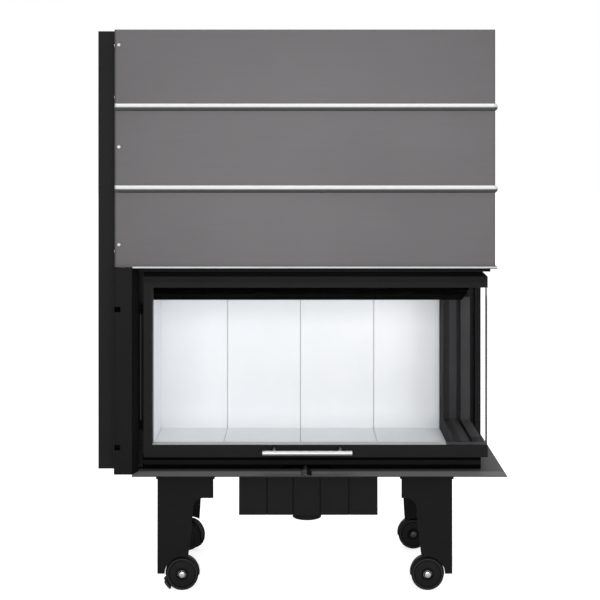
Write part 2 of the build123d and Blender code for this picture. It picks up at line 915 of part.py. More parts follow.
with BuildPart() as air_spigot:
    post(spigot_x, spigot_y, spigot_bottom, box_bottom, spigot_radius)
    post(spigot_x, spigot_y, box_bottom - spigot_stop, box_bottom, spigot_radius + sheet)
    post(spigot_x, spigot_y, box_bottom, box_bottom + plate, spigot_radius - clear)
    post(spigot_x, spigot_y, box_bottom + plate, box_bottom + plate + sheet, spigot_radius + 8)
    post(
        spigot_x, spigot_y, spigot_bottom,
        box_bottom + plate + sheet, spigot_radius - sheet, Mode.SUBTRACT,
    )
air_spigot.part.label = "air_spigot"
export_step(air_spigot.part, "parts/air_spigot.step")

# Air lever: one cut plate, a finger tab in front and a shutter behind its pin
lever_z = base_top + clear
with BuildPart() as air_lever:
    with BuildSketch(Plane.XY.offset(lever_z)) as lever_plate:
        with Locations((lever_x, lever_y)):
            Circle(12)
        with BuildLine():
            Polyline(
                (lever_x - 8, lever_y),
                (lever_x - 7, front + 14),
                (lever_x - 13, front - 6),
                (lever_x - 13, lever_tip),
                (lever_x + 13, lever_tip),
                (lever_x + 13, front - 6),
                (lever_x + 7, front + 14),
                (lever_x + 8, lever_y),
                close=True,
            )
        make_face()
        with BuildLine():
            CenterArc((lever_x, lever_y), shutter_radius, 90 - 1.8 * port_angle, 3.6 * port_angle)
            Polyline(
                PolarLine((lever_x, lever_y), shutter_radius, 90 - 1.8 * port_angle) @ 1,
                (lever_x, lever_y),
                PolarLine((lever_x, lever_y), shutter_radius, 90 + 1.8 * port_angle) @ 1,
            )
        make_face()
        with Locations((lever_x, lever_y)):
            Circle(lever_pin + running_fit, mode=Mode.SUBTRACT)
        with Locations((lever_x, lever_y + port_circle)):
            Circle(port_radius, mode=Mode.SUBTRACT)
    extrude(lever_plate.sketch, amount=plate)
    fillet(air_lever.edges().filter_by(Axis.Z).group_by(Axis.Y)[0], 4)
air_lever.part.label = "air_lever"
export_step(air_lever.part, "parts/air_lever.step")

# Door frame: an L in plan, with no post at the glass corner
with BuildPart() as door_frame:
    with BuildSketch(Plane.XY.offset(door_bottom)) as door_plan:
        with BuildLine():
            Polyline(
                (door_left, front),
                (door_right, front),
                (door_right, door_back),
                (door_right - door_depth, door_back),
                (door_right - door_depth, front + door_depth),
                (door_left, front + door_depth),
                close=True,
            )
        make_face()
    extrude(door_plan.sketch, amount=door_top - door_bottom)
    top_edges = door_frame.edges().group_by(Axis.Z)[-1]
    front_top = top_edges.filter_by(Axis.X).sort_by(Axis.Y)[0]
    right_top = top_edges.filter_by(Axis.Y).sort_by(Axis.X)[-1]
    chamfer([front_top, right_top], door_cap_slope)
    block(window_left, front, window_bottom, door_right, window_back, window_top, Mode.SUBTRACT)
    block(
        window_left - rebate, front + lip, pane_bottom,
        door_right - side_rebate, front + door_depth, pane_top, Mode.SUBTRACT,
    )
    block(
        door_right - side_rebate, front + lip, pane_bottom,
        door_right, window_back + rebate, pane_top, Mode.SUBTRACT,
    )
    block(
        door_right - door_depth + lip, front + retainer_start, pane_bottom,
        door_right - side_rebate, window_back + rebate, pane_top, Mode.SUBTRACT,
    )
door_frame.part.label = "door_frame"
export_step(door_frame.part, "parts/door_frame.step")

with BuildPart() as front_glass:
    block(
        window_left - rebate + clear, front + lip + clear, pane_bottom + clear,
        door_right - side_rebate, front + lip + clear + glass, pane_top - clear,
    )
front_glass.part.label = "front_glass"
export_step(front_glass.part, "parts/front_glass.step")

side_glass_inner = door_right - side_rebate + clear
with BuildPart() as side_glass:
    block(
        side_glass_inner, front + lip + clear, pane_bottom + clear,
        side_glass_inner + glass, window_back + rebate - clear, pane_top - clear,
    )
side_glass.part.label = "side_glass"
export_step(side_glass.part, "parts/side_glass.step")

# Glass retainers: strips that fill the rebates behind the panes
retainer_front = front + lip + 2 * clear + glass
retainer_right = door_right - side_rebate
with BuildPart() as glass_retainer:
    retainer_back = front + door_depth
    for z0, z1 in ((pane_bottom, window_bottom), (window_top, pane_top)):
        block(window_left - rebate, retainer_front, z0, retainer_right, retainer_back, z1)
        block(
            door_right - door_depth + lip, front + retainer_start, z0,
            retainer_right, window_back + rebate, z1,
        )
    block(
        window_left - rebate, retainer_front, window_bottom + clear,
        window_left, retainer_back, window_top - clear,
    )
    block(
        door_right - door_depth + lip, window_back, window_bottom + clear,
        retainer_right, window_back + rebate, window_top - clear,
    )
glass_retainer.part.label = "glass_retainer"
export_step(glass_retainer.part, "parts/glass_retainer.step")

# Rope seal on the inner faces of the door
seal_bottom = fire_opening_bottom - seal_width - 2
seal_top = fire_opening_top + seal_width + 2
with BuildPart() as door_seal:
    with BuildSketch(Plane.XY.offset(seal_bottom)) as seal_plan:
        with BuildLine():
            Polyline(
                (door_left + 2, front + door_depth),
                (door_right - door_depth, front + door_depth),
                (door_right - door_depth, door_back - 2),
                (door_right - door_depth - seal_height, door_back - 2),
                (door_right - door_depth - seal_height, front + door_depth + seal_height),
                (door_left + 2, front + door_depth + seal_height),
                close=True,
            )
        make_face()
    extrude(seal_plan.sketch, amount=seal_top - seal_bottom)
    block(
        door_left + 2 + seal_width, front, seal_bottom + seal_width,
        door_right, door_back - seal_width, seal_top - seal_width, Mode.SUBTRACT,
    )
door_seal.part.label = "door_seal"
export_step(door_seal.part, "parts/door_seal.step")

# Handle: a round bar on two posts
handle_y = -overall_depth / 2 + handle_radius
with BuildPart() as handle:
    handle_left = handle_middle - handle_width / 2
    bar_x(handle_y, handle_z, handle_left, handle_left + handle_width, handle_radius)
    chamfer(handle.edges().filter_by(GeomType.CIRCLE), 0.8)
    for x in (handle_middle - handle_post_spacing / 2, handle_middle + handle_post_spacing / 2):
        bar_y(x, handle_z, handle_y, front, handle_post_radius)
handle.part.label = "handle"
export_step(handle.part, "parts/handle.step")

# Folded legs with a castor shelf, their bolts, and the castors
castor_y = leg_front + castor_setback
axle_z = wheel_radius
for suffix, outer, width, arch, inward, turn in (
    ("fl", leg_left_outer, leg_left_width, arch_radius, 1, 0),
    ("fr", leg_right_outer, leg_right_width, arch_radius, -1, 0),
    ("rl", leg_left_outer + leg_rear_shift, leg_left_width, rear_left_arch, 1, rear_left_turn),
    ("rr", leg_right_outer + leg_rear_shift, leg_right_width, arch_radius, -1, 0),
):
    is_front = suffix.startswith("f")
    y = leg_front if is_front else leg_front + leg_spacing
    waist = leg_front_waist if is_front else leg_rear_waist
    ankle = leg_front_ankle if is_front else leg_rear_ankle
    castor_x = outer + inward * castor_inset
    with BuildPart() as leg:
        with BuildSketch(Plane.XZ.offset(-y)) as leg_face:
            with BuildLine():
                Line((outer, leg_bottom), (outer, base_bottom))
                Line((outer, base_bottom), (outer + inward * width, base_bottom))
                Line((outer + inward * width, base_bottom), (outer + inward * width, leg_step))
                Line((outer + inward * width, leg_step), (outer + inward * leg_neck, leg_step))
                ThreePointArc(
                    (outer + inward * leg_neck, leg_step),
                    (outer + inward * waist, leg_waist_z),
                    (outer + inward * ankle, leg_bottom),
                )
                Line((outer + inward * ankle, leg_bottom), (outer, leg_bottom))
            make_face()
            step_corner = leg_face.vertices().filter_by_position(Axis.Y, leg_step - 1, leg_step + 1)
            neck_side, far_side = (0, -1) if inward > 0 else (-1, 0)
            neck_corner = step_corner.sort_by(Axis.X)[neck_side]
            far_corner = step_corner.sort_by(Axis.X)[far_side]
            fillet(neck_corner, leg_round)
            fillet(far_corner, leg_corner)
            with Locations((castor_x, axle_z)):
                Circle(arch, mode=Mode.SUBTRACT)
        extrude(leg_face.sketch, amount=-plate)
        face_edge = sorted((outer, outer + inward * plate))
        block(face_edge[0], y, leg_bottom, face_edge[1], y + leg_depth, base_bottom)
        inner = outer + inward * width
        inner_edge = sorted((inner, inner - inward * plate))
        block(inner_edge[0], y, socket_bottom, inner_edge[1], y + leg_depth, base_bottom)
        shelf_edge = sorted((outer, outer + inward * (ankle - 1)))
        block(shelf_edge[0], y, shelf_z, shelf_edge[1], y + leg_depth, shelf_z + plate)
        stem_x = castor_x - inward * castor_trail
        post(stem_x, y + castor_setback, shelf_z, shelf_z + plate, stem + running_fit, Mode.SUBTRACT)
        for y_bolt in (y + leg_depth / 3, y + leg_depth * 2 / 3):
            bar_x(y_bolt, bolt_z, face_edge[0], face_edge[1], bolt + clear, Mode.SUBTRACT)
    leg.part.label = f"leg_{suffix}"
    export_step(leg.part, f"parts/leg_{suffix}.step")

    swivel = Axis((stem_x, y + castor_setback, 0), (0, 0, 1))
    y_middle = y + castor_setback
    with BuildPart() as castor_body:
        with BuildSketch(Plane.XZ.offset(-y_middle + castor_web / 2)) as web:
            with Locations((castor_x, axle_z)):
                Circle(castor_hood)
                with Locations((0, -castor_skirt - castor_hood / 2)):
                    Rectangle(3 * castor_hood, castor_hood, mode=Mode.SUBTRACT)
        extrude(web.sketch, amount=-castor_web)
        bar_y(castor_x, axle_z, y_middle - castor_half, y_middle + castor_half, axle)
        cap_front = y_middle - castor_half - clear
        cap_back = y_middle + castor_half + clear
        bar_y(castor_x, axle_z, cap_front - axle_cap_height, cap_front + clear, axle)
        bar_y(castor_x, axle_z, cap_front - axle_cap_height, cap_front, axle_cap)
        bar_y(castor_x, axle_z, cap_back - clear, cap_back + axle_cap_height, axle)
        bar_y(castor_x, axle_z, cap_back, cap_back + axle_cap_height, axle_cap)
        post(stem_x, y_middle, axle_z + castor_hood / 2, shelf_z - clear, castor_web / 2)
        post(stem_x, y_middle, shelf_z - 2 * plate, shelf_z - clear, stem_head)
        post(stem_x, y_middle, shelf_z - plate, shelf_z + plate + clear, stem)
        post(stem_x, y_middle, shelf_z + plate + clear, shelf_z + 3 * plate, stem_head - 2)
        if suffix == "fl":
            ear_x = castor_x - pedal_pin_circle
            ear_z = axle_z - pedal_drop
            block(ear_x - 4, y_middle - 2.5, ear_z, ear_x + 10, y_middle + 2.5, axle_z)
            bar_y(ear_x, ear_z, y_middle - 2.5, y_middle + 2.5, 4)
            bar_y(ear_x, ear_z, y_middle - castor_web / 2, y_middle + castor_web / 2, pedal_pin)
    castor_solid = castor_body.part.rotate(swivel, turn)
    castor_solid.label = f"castor_body_{suffix}"
    export_step(castor_solid, f"parts/castor_body_{suffix}.step")

    with BuildPart() as castor_wheels:
        for side in (-1, 1):
            near = y_middle + side * (castor_web / 2 + castor_gap)
            far = y_middle + side * castor_half
            bar_y(castor_x, axle_z, min(near, far), max(near, far), wheel_radius)
        rims = castor_wheels.edges().filter_by(GeomType.CIRCLE)
        fillet(rims, 3)
        bar_y(
            castor_x, axle_z, y_middle - castor_half,
            y_middle - castor_half + 2, wheel_radius * 0.78, Mode.SUBTRACT,
        )
        bar_y(
            castor_x, axle_z, y_middle + castor_half - 2,
            y_middle + castor_half, wheel_radius * 0.78, Mode.SUBTRACT,
        )
        bar_y(castor_x, axle_z, y_middle - castor_half, y_middle - castor_half + 2, 15)
        bar_y(castor_x, axle_z, y_middle + castor_half - 2, y_middle + castor_half, 15)
        bar_y(
            castor_x, axle_z, y_middle - castor_half, y_middle + castor_half,
            axle + running_fit, Mode.SUBTRACT,
        )
    wheel_solid = castor_wheels.part.rotate(swivel, turn)
    wheel_solid.label = f"castor_wheels_{suffix}"
    export_step(wheel_solid, f"parts/castor_wheels_{suffix}.step")

# Brake pedal of the front left castor: a curved pad on two cheeks beside the ear
castor_x = leg_left_outer + castor_inset
y_middle = leg_front + castor_setback
ear_x = castor_x - pedal_pin_circle
ear_z = axle_z - pedal_drop
with BuildPart() as castor_brake:
    with BuildSketch(Plane.XZ.offset(-y_middle + pedal_width / 2)) as pad:
        with BuildLine():
            outer_arc = CenterArc((castor_x, axle_z), pedal_outer, pedal_start, pedal_end - pedal_start)
            inner_arc = CenterArc((castor_x, axle_z), pedal_inner, pedal_start, pedal_end - pedal_start)
            Line(outer_arc @ 0, inner_arc @ 0)
            Line(outer_arc @ 1, inner_arc @ 1)
        make_face()
    extrude(pad.sketch, amount=-pedal_width)
    fillet(castor_brake.edges().filter_by(Axis.Y), pedal_round)
    for side in (-1, 1):
        near = y_middle + side * (2.5 + clear)
        far = y_middle + side * (castor_web / 2)
        with BuildSketch(Plane.XZ.offset(-min(near, far))) as cheek:
            with BuildLine():
                Polyline(
                    (ear_x + 6, ear_z - 6),
                    (ear_x + 6, ear_z + 3),
                    (ear_x - 4, ear_z + 6),
                    (castor_x - pedal_outer + 3, ear_z - 2),
                    (castor_x - pedal_outer + 9, ear_z - 14),
                    close=True,
                )
            make_face()
        extrude(cheek.sketch, amount=-abs(far - near))
    bar_y(
        ear_x, ear_z, y_middle - castor_web / 2, y_middle + castor_web / 2,
        pedal_pin + running_fit, Mode.SUBTRACT,
    )
castor_brake.part.label = "castor_brake_fl"
export_step(castor_brake.part, "parts/castor_brake_fl.step")

# Bolts that hold the legs in their sockets
with BuildPart() as leg_bolts:
    for y, shift in ((leg_front, 0), (leg_front + leg_spacing, leg_rear_shift)):
        for y_bolt in (y + leg_depth / 3, y + leg_depth * 2 / 3):
            head = leg_left_outer + shift - socket_clear - plate
            bar_x(y_bolt, bolt_z, head - bolt_head_height, head, bolt_head)
            bar_x(y_bolt, bolt_z, head, leg_left_outer + shift + plate + bolt_end, bolt)
            head = leg_right_outer + shift + socket_clear + plate
            bar_x(y_bolt, bolt_z, head, head + bolt_head_height, bolt_head)
            bar_x(y_bolt, bolt_z, leg_right_outer + shift - plate - bolt_end, head, bolt)
leg_bolts.part.label = "leg_bolts"
export_step(leg_bolts.part, "parts/leg_bolts.step")
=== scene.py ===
import json
import math

import bmesh
import bpy
import numpy as np
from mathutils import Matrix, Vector


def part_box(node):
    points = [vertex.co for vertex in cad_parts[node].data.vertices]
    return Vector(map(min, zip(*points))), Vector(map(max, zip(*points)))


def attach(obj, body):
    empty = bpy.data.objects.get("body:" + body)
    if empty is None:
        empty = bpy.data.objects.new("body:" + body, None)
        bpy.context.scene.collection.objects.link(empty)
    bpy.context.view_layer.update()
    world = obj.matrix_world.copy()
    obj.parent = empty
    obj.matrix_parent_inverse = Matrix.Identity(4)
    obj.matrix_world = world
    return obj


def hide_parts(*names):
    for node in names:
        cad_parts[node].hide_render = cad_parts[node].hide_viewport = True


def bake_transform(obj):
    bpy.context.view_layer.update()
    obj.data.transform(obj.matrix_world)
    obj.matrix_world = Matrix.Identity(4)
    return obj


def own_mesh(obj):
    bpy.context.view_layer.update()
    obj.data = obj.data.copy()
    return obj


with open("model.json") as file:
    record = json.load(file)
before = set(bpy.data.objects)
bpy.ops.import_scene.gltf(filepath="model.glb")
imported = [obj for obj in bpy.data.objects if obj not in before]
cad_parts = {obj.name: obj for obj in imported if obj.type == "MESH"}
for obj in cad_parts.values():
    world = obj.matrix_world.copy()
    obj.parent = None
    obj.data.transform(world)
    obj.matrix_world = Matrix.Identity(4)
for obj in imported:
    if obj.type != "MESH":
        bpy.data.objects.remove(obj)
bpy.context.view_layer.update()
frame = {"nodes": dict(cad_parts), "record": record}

# ---------------------------------------------------------------- finishes


def finish(name, rough=0.5, metal=0.0, shine=0.5):
    """A new material with its node tree and shader; roughness, metal and shine are plain values on the shader."""
    made = bpy.data.materials.new(name)
    made.use_nodes = True
    shader = made.node_tree.nodes["Principled BSDF"]
    shader.inputs["Roughness"].default_value = rough
    shader.inputs["Metallic"].default_value = metal
    shader.inputs["Specular IOR Level"].default_value = shine
    return made, made.node_tree, shader


def place(tree, stretch=(1.0, 1.0, 1.0), turn=(0.0, 0.0, 0.0)):
    """The piece's own coordinates in metres, stretched along each axis."""
    where = tree.nodes.new("ShaderNodeTexCoord")
    mapping = tree.nodes.new("ShaderNodeMapping")
    mapping.inputs["Scale"].default_value = stretch
    mapping.inputs["Rotation"].default_value = turn
    tree.links.new(where.outputs["Object"], mapping.inputs["Vector"])
    return mapping.outputs["Vector"]


def cloud(tree, where, scale, detail=3.0, fine=0.55):
    """Soft noise with features about 1/scale metres across."""
    noise = tree.nodes.new("ShaderNodeTexNoise")
    noise.inputs["Scale"].default_value = scale
    noise.inputs["Detail"].default_value = detail
    noise.inputs["Roughness"].default_value = fine
    tree.links.new(where, noise.inputs["Vector"])
    return noise.outputs["Fac"]


def speckle(tree, where, scale):
    """Distance to scattered points, for pits and grains."""
    cells = tree.nodes.new("ShaderNodeTexVoronoi")
    cells.inputs["Scale"].default_value = scale
    tree.links.new(where, cells.inputs["Vector"])
    return cells.outputs["Distance"]


def span(tree, value, low, high, to_low=0.0, to_high=1.0):
    """Carries value from low..high to to_low..to_high, held at both ends."""
    node = tree.nodes.new("ShaderNodeMapRange")
    node.clamp = True
    tree.links.new(value, node.inputs["Value"])
    for name, number in (("From Min", low), ("From Max", high), ("To Min", to_low), ("To Max", to_high)):
        node.inputs[name].default_value = number
    return node.outputs["Result"]


def sums(tree, a, b, kind="ADD"):
    """One plain sum of two values or a value and a number."""
    node = tree.nodes.new("ShaderNodeMath")
    node.operation = kind
    for socket, value in zip(node.inputs, (a, b)):
        if isinstance(value, (int, float)):
            socket.default_value = value
        else:
            tree.links.new(value, socket)
    return node.outputs["Value"]


def blend_colours(tree, share, a, b):
    """Colour a where share is 0 and b where it is 1; a and b are colours or sockets."""
    node = tree.nodes.new("ShaderNodeMix")
    node.data_type = "RGBA"
    tree.links.new(share, node.inputs["Factor"])
    for name, value in (("A", a), ("B", b)):
        socket = [s for s in node.inputs if s.name == name and s.type == "RGBA"][0]
        if isinstance(value, tuple):
            socket.default_value = (*value, 1.0)
        else:
            tree.links.new(value, socket)
    return [s for s in node.outputs if s.type == "RGBA"][0]


def relief(tree, shader, height, depth, reach=0.001):
    """A bump from height, reach metres deep where depth is 1."""
    bump = tree.nodes.new("ShaderNodeBump")
    bump.inputs["Strength"].default_value = depth
    bump.inputs["Distance"].default_value = reach
    tree.links.new(height, bump.inputs["Height"])
    tree.links.new(bump.outputs["Normal"], shader.inputs["Normal"])


def grey(level):
    """A neutral colour of one level."""
    return (level, level, level)


def powder_coat(name, dark, light, rough=0.45, grain=1400.0, depth=0.25, shine=0.06):
    """Baked powder coat: two near tones in soft clouds, a fine orange-peel relief, uneven gloss."""
    made, tree, shader = finish(name, rough, shine=shine)
    where = place(tree)
    clouds = cloud(tree, where, 7.0, 4.0, 0.6)
    peel = cloud(tree, where, grain, 2.0, 0.5)
    colour = blend_colours(tree, span(tree, clouds, 0.3, 0.7), dark, light)
    tree.links.new(colour, shader.inputs["Base Color"])
    unevenness = sums(tree, clouds, sums(tree, peel, 0.4, "MULTIPLY"))
    gloss = span(tree, unevenness, 0.45, 0.95, rough - 0.06, rough + 0.08)
    tree.links.new(gloss, shader.inputs["Roughness"])
    relief(tree, shader, peel, depth, 0.0004)
    return made


def rolled_sheet(name, dark, light, rough, metal, run=(6.0, 6.0, 90.0)):
    """Rolled sheet metal: faint streaks along the sheet, a fine mottled grain and uneven gloss."""
    made, tree, shader = finish(name, rough, metal, 0.3)
    streaks = cloud(tree, place(tree, run), 1.0, 5.0, 0.6)
    mottle = cloud(tree, place(tree), 700.0, 3.0, 0.6)
    clouds = cloud(tree, place(tree), 3.0, 2.0, 0.5)
    mixed = sums(tree, sums(tree, streaks, 0.5, "MULTIPLY"), sums(tree, mottle, 0.5, "MULTIPLY"))
    colour = blend_colours(tree, span(tree, mixed, 0.3, 0.7), dark, light)
    tree.links.new(colour, shader.inputs["Base Color"])
    gloss = span(tree, sums(tree, clouds, mixed), 0.6, 1.4, rough - 0.06, rough + 0.06)
    tree.links.new(gloss, shader.inputs["Roughness"])
    relief(tree, shader, mixed, 0.15, 0.0003)
    return made


def zones(tree, shader, rows):
    """Lays further looks over a finish. Each row is (low corner, high corner, dark, light, metal): the look holds
    inside the box between the corners, in metres, where None leaves a side open."""
    where = tree.nodes.new("ShaderNodeTexCoord")
    parts = tree.nodes.new("ShaderNodeSeparateXYZ")
    tree.links.new(where.outputs["Object"], parts.inputs["Vector"])
    fine = cloud(tree, where.outputs["Object"], 700.0, 3.0, 0.6)
    metal = None
    for low, high, dark, light, metal_share in rows:
        share = None
        for axis, start, stop in zip("XYZ", low, high):
            for limit, first in ((start, 0.0), (stop, 1.0)):
                if limit is None:
                    continue
                edge = span(tree, parts.outputs[axis], limit - 0.0002, limit + 0.0002, first, 1.0 - first)
                share = edge if share is None else sums(tree, share, edge, "MULTIPLY")
        under = shader.inputs["Base Color"].links[0].from_socket
        over = blend_colours(tree, fine, dark, light)
        tree.links.new(blend_colours(tree, share, under, over), shader.inputs["Base Color"])
        part = sums(tree, share, metal_share, "MULTIPLY")
        metal = part if metal is None else sums(tree, metal, part, "MAXIMUM")
    if any(row[4] for row in rows):
        if shader.inputs["Metallic"].default_value:
            metal = sums(tree, metal, shader.inputs["Metallic"].default_value, "MAXIMUM")
        tree.links.new(metal, shader.inputs["Metallic"])


def zoned_coat(name, dark, light, rough, rows, shine=0.06):
    """A powder coat with zones of another look."""
    made = powder_coat(name, dark, light, rough, 900.0, 0.15, shine)
    zones(made.node_tree, made.node_tree.nodes["Principled BSDF"], rows)
    return made


def pressed_slab(name, dark, light):
    """Pressed mineral slab: pale, matt, with small grains, shallow pits and soft clouds."""
    made, tree, shader = finish(name, 0.9, shine=0.3)
    where = place(tree)
    clouds = cloud(tree, where, 9.0, 5.0, 0.65)
    grains = cloud(tree, where, 420.0, 4.0, 0.7)
    pits = span(tree, speckle(tree, where, 260.0), 0.05, 0.35)
    mixed = sums(tree, sums(tree, clouds, 0.6, "MULTIPLY"), sums(tree, grains, 0.4, "MULTIPLY"))
    colour = blend_colours(tree, span(tree, mixed, 0.32, 0.62), dark, light)
    tree.links.new(colour, shader.inputs["Base Color"])
    tree.links.new(span(tree, grains, 0.3, 0.7, 0.82, 0.95), shader.inputs["Roughness"])
    height = sums(tree, sums(tree, grains, 0.6, "MULTIPLY"), sums(tree, pits, 0.5, "MULTIPLY"))
    relief(tree, shader, height, 0.35, 0.0006)
    return made


def brushed_bar(name, dark, light, rough=0.26, along=(4.0, 500.0, 500.0)):
    """Ground stainless steel with fine lines along the bar."""
    made, tree, shader = finish(name, rough, 1.0)
    lines = cloud(tree, place(tree, along), 1.0, 4.0, 0.6)
    colour = blend_colours(tree, span(tree, lines, 0.3, 0.7), dark, light)
    tree.links.new(colour, shader.inputs["Base Color"])
    tree.links.new(span(tree, lines, 0.3, 0.7, rough - 0.06, rough + 0.08), shader.inputs["Roughness"])
    relief(tree, shader, lines, 0.12, 0.0002)
    return made


def knitted_rope(name, dark, light):
    """Glass-fibre rope: crossed knit ridges about 4 mm apart."""
    made, tree, shader = finish(name, 0.92, shine=0.1)
    ridges = []
    for turn in (0.7, -0.7):
        wave = tree.nodes.new("ShaderNodeTexWave")
        wave.inputs["Scale"].default_value = 80.0
        wave.inputs["Distortion"].default_value = 1.5
        wave.inputs["Detail"].default_value = 1.0
        tree.links.new(place(tree, (1.0, 1.0, 1.0), (0.0, turn, turn)), wave.inputs["Vector"])
        ridges.append(wave.outputs["Fac"])
    knit = sums(tree, ridges[0], ridges[1], "MULTIPLY")
    tree.links.new(blend_colours(tree, knit, dark, light), shader.inputs["Base Color"])
    tree.links.new(span(tree, knit, 0.0, 1.0, 0.95, 0.8), shader.inputs["Roughness"])
    relief(tree, shader, knit, 0.6, 0.001)
    return made


def moulded(name, dark, light, rough=0.5, grain=900.0, depth=0.2, shine=0.12):
    """Moulded plastic or rubber: nearly even colour, a fine texture and uneven gloss."""
    made, tree, shader = finish(name, rough, shine=shine)
    where = place(tree)
    fine = cloud(tree, where, grain, 2.0, 0.5)
    wide = cloud(tree, where, 40.0, 3.0, 0.6)
    tree.links.new(blend_colours(tree, span(tree, wide, 0.3, 0.7), dark, light), shader.inputs["Base Color"])
    gloss = span(tree, sums(tree, fine, wide), 0.7, 1.3, rough - 0.08, rough + 0.08)
    tree.links.new(gloss, shader.inputs["Roughness"])
    relief(tree, shader, fine, depth, 0.0003)
    return made


def pane_glass(name, end=None):
    """Ceramic fire glass: nearly clear with a faint film. Where y is less than end, the ground end face of the
    pane shows as a grey line."""
    made, tree, shader = finish(name, 0.03)
    film = cloud(tree, place(tree), 6.0, 4.0, 0.6)
    clear_look = blend_colours(tree, film, (0.030, 0.033, 0.035), (0.045, 0.048, 0.050))
    tree.links.new(span(tree, film, 0.3, 0.7, 0.02, 0.05), shader.inputs["Roughness"])
    if end is None:
        tree.links.new(clear_look, shader.inputs["Base Color"])
        shader.inputs["Alpha"].default_value = 0.003
        return made
    where = tree.nodes.new("ShaderNodeTexCoord")
    parts = tree.nodes.new("ShaderNodeSeparateXYZ")
    tree.links.new(where.outputs["Object"], parts.inputs["Vector"])
    ground = span(tree, parts.outputs["Y"], end - 0.0001, end + 0.0001, 1.0, 0.0)
    tree.links.new(blend_colours(tree, ground, clear_look, (0.060, 0.062, 0.062)), shader.inputs["Base Color"])
    tree.links.new(span(tree, ground, 0.0, 1.0, 0.006, 1.0), shader.inputs["Alpha"])
    return made


# Heights of the hood's two beads, and of the seams across the air box with half their width
HOOD_BEADS = (1.299, 1.087)
AIR_BOX_SEAMS = (-0.090, -0.0195, 0.0530, 0.1290)
SEAM = 0.0016

# Each bead has a painted highlight along its crest, a grey flank and a painted shadow at its foot
HOOD = rolled_sheet("hood_sheet", (0.062, 0.0590, 0.0612), (0.072, 0.0685, 0.0710), 0.42, 0.3)
HOOD_BEAD_HIGHLIGHT_AND_SHADOW = []
for bead in HOOD_BEADS:
    HOOD_BEAD_HIGHLIGHT_AND_SHADOW += [
        ((None, None, bead + 0.0006), (None, None, bead + 0.0095), grey(0.40), grey(0.48), 0.2),
        ((None, None, bead - 0.0012), (None, None, bead + 0.0006), grey(0.14), grey(0.18), 0.1),
        ((None, None, bead - 0.0102), (None, None, bead - 0.0012), grey(0.038), grey(0.050), 0.0),
    ]
zones(HOOD.node_tree, HOOD.node_tree.nodes["Principled BSDF"], HOOD_BEAD_HIGHLIGHT_AND_SHADOW)
BLACK = powder_coat("black_coat", (0.0070, 0.0070, 0.0074), (0.0095, 0.0095, 0.0101))
LEG = powder_coat("leg_coat", (0.0050, 0.0050, 0.0056), (0.0068, 0.0068, 0.0075), 0.5)
COLUMN = powder_coat("column_coat", (0.0080, 0.0080, 0.0083), (0.0105, 0.0105, 0.0108), 0.45)
FASCIA = powder_coat("fascia_coat", (0.0040, 0.0040, 0.0044), (0.0055, 0.0055, 0.0060), 0.45)
# The zoned looks below lay edge strips and bands on the coats, mostly painted light and shade as they read from the
# front
# The dark lines at the air box seams are painted shade along its creases
AIRBOX = zoned_coat(
    "air_box_coat", (0.0065, 0.0065, 0.0070), (0.0085, 0.0085, 0.0091), 0.5,
    [
        ((seam - SEAM, None, None), (seam + SEAM, None, None), grey(0.0010), grey(0.0018), 0.0)
        for seam in AIR_BOX_SEAMS
    ],
)
# The inner header is painted near black as shade in the air slot, with its lower lip painted a little less dark
HEADER_SLOT_SHADE = zoned_coat(
    "inner_header_painted_shade", grey(0.0004), grey(0.0008), 0.9,
    [((None, None, None), (None, None, 0.807), (0.0022, 0.0022, 0.0020), (0.0034, 0.0034, 0.0031), 0.0)], 0.0,
)
STEEL = powder_coat("firebox_steel", (0.045, 0.045, 0.048), (0.062, 0.062, 0.066), 0.5, 900.0)
HANDLE = brushed_bar("ground_stainless", grey(0.30), grey(0.38), 0.3)
zones(HANDLE.node_tree, HANDLE.node_tree.nodes["Principled BSDF"], [
    ((None, -0.2785, None), (None, None, None), grey(0.06), grey(0.09), 0.5),
])
APRON = zoned_coat(
    "apron_edge", (0.0022, 0.0022, 0.0024), (0.0034, 0.0034, 0.0036), 0.45,
    [((None, None, 0.8826), (None, None, None), (0.27, 0.27, 0.275), (0.33, 0.33, 0.335), 0.6)], 0.04,
)
# The base plate shows grey sheet on its top and front edge; the lighter strip along the front of the top is painted
# light from above, and behind the plinth the top is painted near black as shade
BASE = zoned_coat(
    "base_plate", (0.0035, 0.0035, 0.0038), (0.0050, 0.0050, 0.0054), 0.5,
    [
        ((None, None, 0.3465), (None, None, None), (0.060, 0.060, 0.061), (0.078, 0.078, 0.079), 0.1),
        ((None, None, 0.3465), (None, -0.236, None), (0.100, 0.100, 0.102), (0.130, 0.130, 0.132), 0.1),
        ((None, None, None), (None, -0.2775, 0.3508), (0.020, 0.020, 0.021), (0.030, 0.030, 0.031), 0.0),
        ((None, -0.209, 0.3465), (0.420, None, None), grey(0.0012), grey(0.0022), 0.0),
    ],
)
DOOR = zoned_coat(
    "door_coat", (0.0060, 0.0060, 0.0064), (0.0078, 0.0078, 0.0084), 0.45,
    [
        ((None, None, 0.8580), (None, None, None), (0.0016, 0.0016, 0.0018), (0.0032, 0.0032, 0.0034), 0.0),
        ((None, None, 0.8435), (None, None, 0.8580), (0.0036, 0.0036, 0.0039), (0.0048, 0.0048, 0.0052), 0.0),
    ],
)
JAMB = zoned_coat(
    "jamb_coat", (0.030, 0.029, 0.031), (0.036, 0.035, 0.037), 0.6,
    [
        ((None, None, None), (0.424, None, None), (0.012, 0.012, 0.0125), (0.020, 0.020, 0.0205), 0.0),
        ((0.4475, None, None), (None, None, None), grey(0.006), grey(0.009), 0.0),
    ], 0.05,
)
